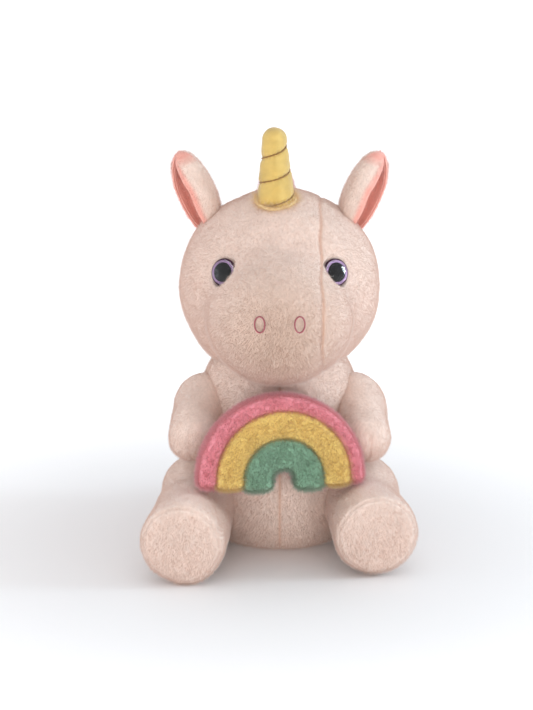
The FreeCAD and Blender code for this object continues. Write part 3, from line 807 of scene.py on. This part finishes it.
def make_arms():
    for side, s in SIDES.items():
        shoulder = JOINT_AT[f"{side}_shoulder"]
        paw = NECK + (s * 50.0, -40, -13)

        def field(p):
            return round_cone(p, shoulder, 18.6, paw, 15.5) + PILE

        def relief(p):
            along = (paw - shoulder) / np.linalg.norm(paw - shoulder)
            lengthwise = np.cross(along, (0, 0, 1.0))
            lengthwise /= np.linalg.norm(lengthwise)
            seam = groove((p - paw) @ lengthwise, 1.0) * (p[:, 2] < paw[2] + 4)
            return 0.45 * lumps(p, 24, 20 + s) + 0.12 * lumps(p, 8, 22) - 0.6 * seam

        piece = skin(f"{side}_arm_skin", (shoulder + paw) / 2, field, 56, relief)
        nodes = [f"{side}_arm_cover", f"{side}_arm_filling"]
        soft_piece(piece, f"{side}_arm", nodes, [PLUSH["peach"]])
        pile(piece, "peach", 650, 1.4, outside_of_body, comb=(0, 0, -0.6), ruffle=0.25, thick=0.065)


def outside_of_body(p):
    """Above 0 where a limb's fabric is clear of the torso."""
    across = np.hypot(p[:, 0], p[:, 1] - NECK[1])
    return across - body_radius(p[:, 2]) + 0.3


SOLES = {"left": np.array((55.5, -87, -59.2)), "right": np.array((-55.2, -101, -59.9))}
FOOT_R, SOLE_R, THIGH_R, HAUNCH_R = 24.4, 23.3, 21.0, 22.0


def make_legs():
    for side, s in SIDES.items():
        hip = JOINT_AT[f"{side}_leg_splay"]
        sole = NECK + SOLES[side]
        along = (sole - hip) / np.linalg.norm(sole - hip)
        ankle = sole - along * math.sqrt(FOOT_R**2 - SOLE_R**2)
        low, high = hip - (0, 0, 5), hip + (0, 0, 6)

        def field(p):
            thigh = round_cone(p, hip, THIGH_R, ankle, FOOT_R)
            haunch = round_cone(p, low, HAUNCH_R, high, HAUNCH_R - 0.01)
            leg = join(thigh, haunch, 8.0) + PILE
            across = np.linalg.norm(np.cross(p - sole, along), axis=1)
            dome = (p - sole) @ along - 2.0 * (1 - (across / SOLE_R) ** 2)
            return carve(leg, -dome, 3.5)

        def relief(p):
            across = np.linalg.norm(np.cross(p - sole, along), axis=1)
            front = (p - sole) @ along
            ring = groove(np.hypot(across - SOLE_R + 1.1, front + 0.6), 1.0)
            pull = groove(across - SOLE_R + 4.5, 3.0) * (front > -4)
            return 0.45 * lumps(p, 26, 30 + s) + 0.12 * lumps(p, 8, 32) - 0.8 * ring - 0.25 * pull

        piece = skin(f"{side}_leg_skin", hip * 0.45 + sole * 0.55, field, 72, relief)
        nodes = [f"{side}_leg_{part}" for part in ("cover", "sole", "filling")]
        soft_piece(piece, f"{side}_leg", nodes, [PLUSH["peach"]])
        pile(piece, "peach", 650, 1.4, outside_of_body, comb=(0, 0, -0.6), ruffle=0.25, thick=0.065)


# ---- Rainbow ---------------------------------------------------------------------------------------------
RAINBOW = NECK + (0.3, -68.5, -29.9)
RAINBOW_TURN = turn("z", 9) @ turn("x", -7)
BAND_R = (48.4, 38.8, 23.0, 6.5)
BAND_SHIFT = 1.4
BAND_CAP = 4.0


def band_rows(outside, inside, front, back, foot, lumpiness, around=44):
    """Rings of a stuffed arch between two radii, each a function of the angle, with rounded ends."""
    ends = [(math.pi, -foot + BAND_CAP * (1 - math.cos(t * math.pi / 2))) for t in np.linspace(0, 1, 9)]
    legs = [(math.pi, z) for z in np.arange(-foot + BAND_CAP + 1, 0, 1.0)]
    arch = [(a, 0.0) for a in np.linspace(math.pi, 0, 150)]
    left = ends + legs
    stations = left + arch + [(0.0, z) for _, z in reversed(left)]
    turns = np.linspace(0, 2 * math.pi, around, endpoint=False)
    cos, sin = np.cos(turns), np.sin(turns)
    rows = []
    for angle, z in stations:
        rest = min(1.0, (z + foot) / BAND_CAP) if angle in (0.0, math.pi) else 1.0
        scale = math.sqrt(max(1 - (1 - rest) ** 2, 0.003))
        out, into = outside(angle) + 0.5, inside(angle) - 0.5
        radius = (out + into) / 2 + scale * (out - into) / 2 * np.sign(cos) * np.abs(cos) ** 0.4
        depth = np.where(sin > 0, -front, back) * scale * np.abs(sin) ** 0.45
        ring = np.stack([radius * math.cos(angle), depth, z + radius * math.sin(angle)], axis=1)
        swell = lumpiness * lumps(ring, 16, 41)
        ring[:, 1] += np.sign(depth) * swell
        rows.append(ring @ RAINBOW_TURN.T + RAINBOW)
    return rows


def shifted(radius):
    """A band edge's radius about the arches' centre, for an edge centred to one side of it."""
    return lambda angle: BAND_SHIFT * math.cos(angle) + radius


def make_rainbow():
    edge = [lambda angle: BAND_R[0] - 1.6, shifted(BAND_R[1]), shifted(BAND_R[2])]
    edge.append(lambda angle: BAND_SHIFT * math.cos(angle) + BAND_R[3] + 1.6 * abs(math.cos(angle)) - 1.0)
    bands = (
        ("pink", edge[0], edge[1], 7.0, 6.5, 4.0),
        ("yellow", edge[1], edge[2], 7.6, 4.0, 5.6),
        ("green", edge[2], edge[3], 7.6, 4.0, 7.2),
    )
    for tone, outside, inside, front, back, foot in bands:
        rows = band_rows(outside, inside, front, back, foot, 0.35)
        piece = grid_mesh(f"rainbow_{tone}_band", rows)
        nodes = [f"rainbow_{tone}"] + (["rainbow_filling"] if tone == "pink" else [])
        soft_piece(piece, "left_arm", nodes, [PLUSH[tone]])
        pile(piece, tone, 700, 2.3, lambda p: np.ones(len(p)), comb=(0, 0, -0.15), ruffle=0.6, thick=0.11)
    rows = band_rows(lambda angle: BAND_R[0] - 3, edge[3], 2.0, 6.8, 5.0, 0.3)
    piece = grid_mesh("rainbow_back_panel", rows)
    soft_piece(piece, "left_arm", ["rainbow_back"], [PLUSH["pink"]])
    pile(piece, "pink", 300, 2.6, lambda p: np.ones(len(p)), comb=(0, 0, -0.15), ruffle=1.1, thick=0.15)


# ---- Materials of this toy -------------------------------------------------------------------------------
def satin():
    """Gold satin: fine weave lines, soft folds and a bright sheen."""
    s = Shade("gold_satin", Metallic=0.25, Roughness=0.38, Sheen_Weight=0.3, Anisotropic=0.5)
    folds = s.noise(9, stretch=(1, 1, 0.6), detail=3)
    s.colour(s.ramp(folds, shade_of(GOLD, 0.95), shade_of(GOLD, 1.15)))
    weave = s.node("ShaderNodeTexWave", wave_type="BANDS", bands_direction="Z")
    weave.inputs["Scale"].default_value = 1000 / 0.5
    weave.inputs["Distortion"].default_value = 1.5
    s.link(s.object_coords, weave.inputs["Vector"])
    s.bump(s.math("ADD", s.math("MULTIPLY", weave.outputs["Fac"], 0.2), folds), 0.2)
    return s.mat


def thread(name, colour):
    """Twisted thread: slanting bands and a slight gloss."""
    s = Shade(name, Roughness=0.55, Sheen_Weight=0.2)
    twist = s.node("ShaderNodeTexWave", wave_type="BANDS", bands_direction="DIAGONAL")
    twist.inputs["Scale"].default_value = 1000 / 0.9
    s.link(s.object_coords, twist.inputs["Vector"])
    s.colour(s.ramp(twist.outputs["Fac"], shade_of(colour, 0.6), shade_of(colour, 1.15), 0.1, 0.8))
    s.bump(twist.outputs["Fac"], 0.15)
    return s.mat


def eye_plastic(name, colour, roughness):
    s = Shade(name, Roughness=roughness, Specular_IOR_Level=0.1)
    cloudy = s.noise(2.5, detail=3)
    s.colour(s.ramp(cloudy, shade_of(colour, 0.8), shade_of(colour, 1.2)))
    s.bump(s.noise(0.6), 0.02)
    return s.mat


def clear_plastic():
    s = Shade("clear_dome", Roughness=0.02, IOR=1.3, Transmission_Weight=1.0)
    s.shader.inputs["Base Color"].default_value = (1, 1, 1, 1)
    return s.mat


TONES = {"peach": PEACH, "cream": CREAM, "coral": CORAL, "pink": PINK}
TONES.update({"pale_pink": PALE_PINK, "yellow": YELLOW, "green": GREEN})
PLUSH = {tone: plush(f"plush_{tone}", colour) for tone, colour in TONES.items()}
PLUSH["head"] = plush("plush_head", PEACH, SEAM_PAINTED_SHADE, muzzle=True)
PLUSH["ear"] = plush("plush_ear", PEACH, CORAL)
PLUSH["body"] = plush("plush_body", PEACH, SEAM_PAINTED_SHADE)
FIBRE = {tone: fibre(f"fibre_{tone}", colour) for tone, colour in TONES.items()}
for tone in ("pink", "yellow", "green"):
    FIBRE[tone] = fibre(f"fibre_rainbow_{tone}", TONES[tone], 0.72)
FIBRE["head"] = fibre("fibre_head", PEACH, muzzle=True)
SATIN = satin()
BROWN_THREAD = thread("brown_thread", (0.36, 0.17, 0.03))
ROSE_THREAD = thread("rose_thread", (0.48, 0.12, 0.15))
EYE_RIM = eye_plastic("eye_rim", (0.05, 0.018, 0.035), 0.2)
EYE_IRIS = eye_plastic("eye_iris", (0.38, 0.24, 0.42), 0.35)
EYE_PUPIL = eye_plastic("eye_pupil", (0.004, 0.004, 0.005), 0.12)
EYE_LENS = clear_plastic()

make_head()
make_eyes()
make_nostrils()
make_horn()
make_collar()
make_ears()
make_mane()
make_tail()
make_body()
make_arms()
make_legs()
make_rainbow()

# The pieces that stay as the model has them lie inside: washers, the pellet pouch, the neck's thread and pad.
INSIDE = [f"{side}_eye_washer" for side in SIDES] + ["seat_pouch", "neck_thread", "neck_filling"]
for node in INSIDE:
    piece = frame["nodes"][node]
    for material_slot in piece.material_slots:
        material_slot.material = PLUSH["peach"]


# ---- Studio ----------------------------------------------------------------------------------------------
TARGET = Vector((0, NECK[1], 130)) * M
CAMERA_DISTANCE, CAMERA_RISE = 1.1, 12
FOCAL_PIXELS, FRAME_HEIGHT, SENSOR = 1833, 710, 36.0
CAMERA_SHIFT = (-0.0187, -0.0444)


def make_camera():
    data = bpy.data.cameras.new("camera")
    camera = bpy.data.objects.new("camera", data)
    bpy.context.scene.collection.objects.link(camera)
    rise = math.radians(CAMERA_RISE)
    camera.location = TARGET + Vector((0, -math.cos(rise), math.sin(rise))) * CAMERA_DISTANCE
    camera.rotation_euler = (math.pi / 2 - rise, 0, 0)
    data.sensor_width = SENSOR
    data.lens = FOCAL_PIXELS * SENSOR / FRAME_HEIGHT
    data.shift_x, data.shift_y = CAMERA_SHIFT
    data.clip_start = 0.05
    bpy.context.scene.camera = camera


def area_light(name, place, size, power, colour):
    data = bpy.data.lights.new(name, "AREA")
    data.shape = "RECTANGLE"
    data.size, data.size_y = size
    data.energy = power
    data.color = colour
    light = bpy.data.objects.new(name, data)
    light.location = place
    light.rotation_euler = (TARGET - Vector(place)).to_track_quat("-Z", "Y").to_euler()
    light.visible_camera = False
    bpy.context.scene.collection.objects.link(light)
    return light


def make_studio():
    bpy.ops.mesh.primitive_plane_add(size=60, location=(0, 20, 0))
    floor = bpy.context.object
    floor.name = "floor"
    s = Shade("floor_paper", Roughness=0.85)
    s.colour(s.ramp(s.noise(600), (0.88, 0.88, 0.885), (0.90, 0.90, 0.905)))
    place = s.node("ShaderNodeVectorMath", operation="DISTANCE")
    s.link(s.object_coords, place.inputs[0])
    place.inputs[1].default_value = (0, -20, 0)
    s.shader.inputs["Emission Color"].default_value = (1, 1, 1, 1)
    far = s.node("ShaderNodeMapRange", interpolation_type="SMOOTHSTEP")
    for socket, value in zip(("From Min", "From Max", "To Min", "To Max"), (0.08, 0.5, 0.0, 0.5)):
        far.inputs[socket].default_value = value
    s.link(place.outputs["Value"], far.inputs["Value"])
    s.link(far.outputs[0], s.shader.inputs["Emission Strength"])
    floor.data.materials.append(s.mat)
    world = bpy.data.worlds.new("studio")
    world.use_nodes = True
    world.node_tree.nodes["Background"].inputs[0].default_value = (0.98, 0.98, 1.0, 1)
    world.node_tree.nodes["Background"].inputs[1].default_value = 0.8
    bpy.context.scene.world = world
    bpy.context.scene.view_settings.view_transform = "Standard"
    area_light("top", (0.1, -0.2, 1.4), (1.5, 1.5), 2, (1.0, 1.0, 1.0))
    area_light("window", (1.2, -0.12, 0.5), (0.26, 0.36), 4.5, (0.75, 0.91, 1.0))
    glint = area_light("glint", (1.15, 0.1, 0.42), (0.36, 0.5), 24, (0.85, 0.94, 1.0))
    domes = bpy.data.collections.new("eye_domes")
    for side in SIDES:
        domes.objects.link(bpy.data.objects[f"{side}_eye_lens_piece"])
    glint.light_linking.receiver_collection = domes
    area_light("side", (1.3, 0.1, 0.3), (0.8, 0.6), 2.6, (0.5, 0.8, 1.0))
    area_light("fill", (-1.3, -0.1, 0.3), (0.8, 0.6), 2, (0.85, 0.95, 1.0))
    area_light("low", (0.0, -0.9, 0.06), (0.9, 0.2), 2.8, (1.0, 0.97, 0.94))


make_camera()
make_studio()
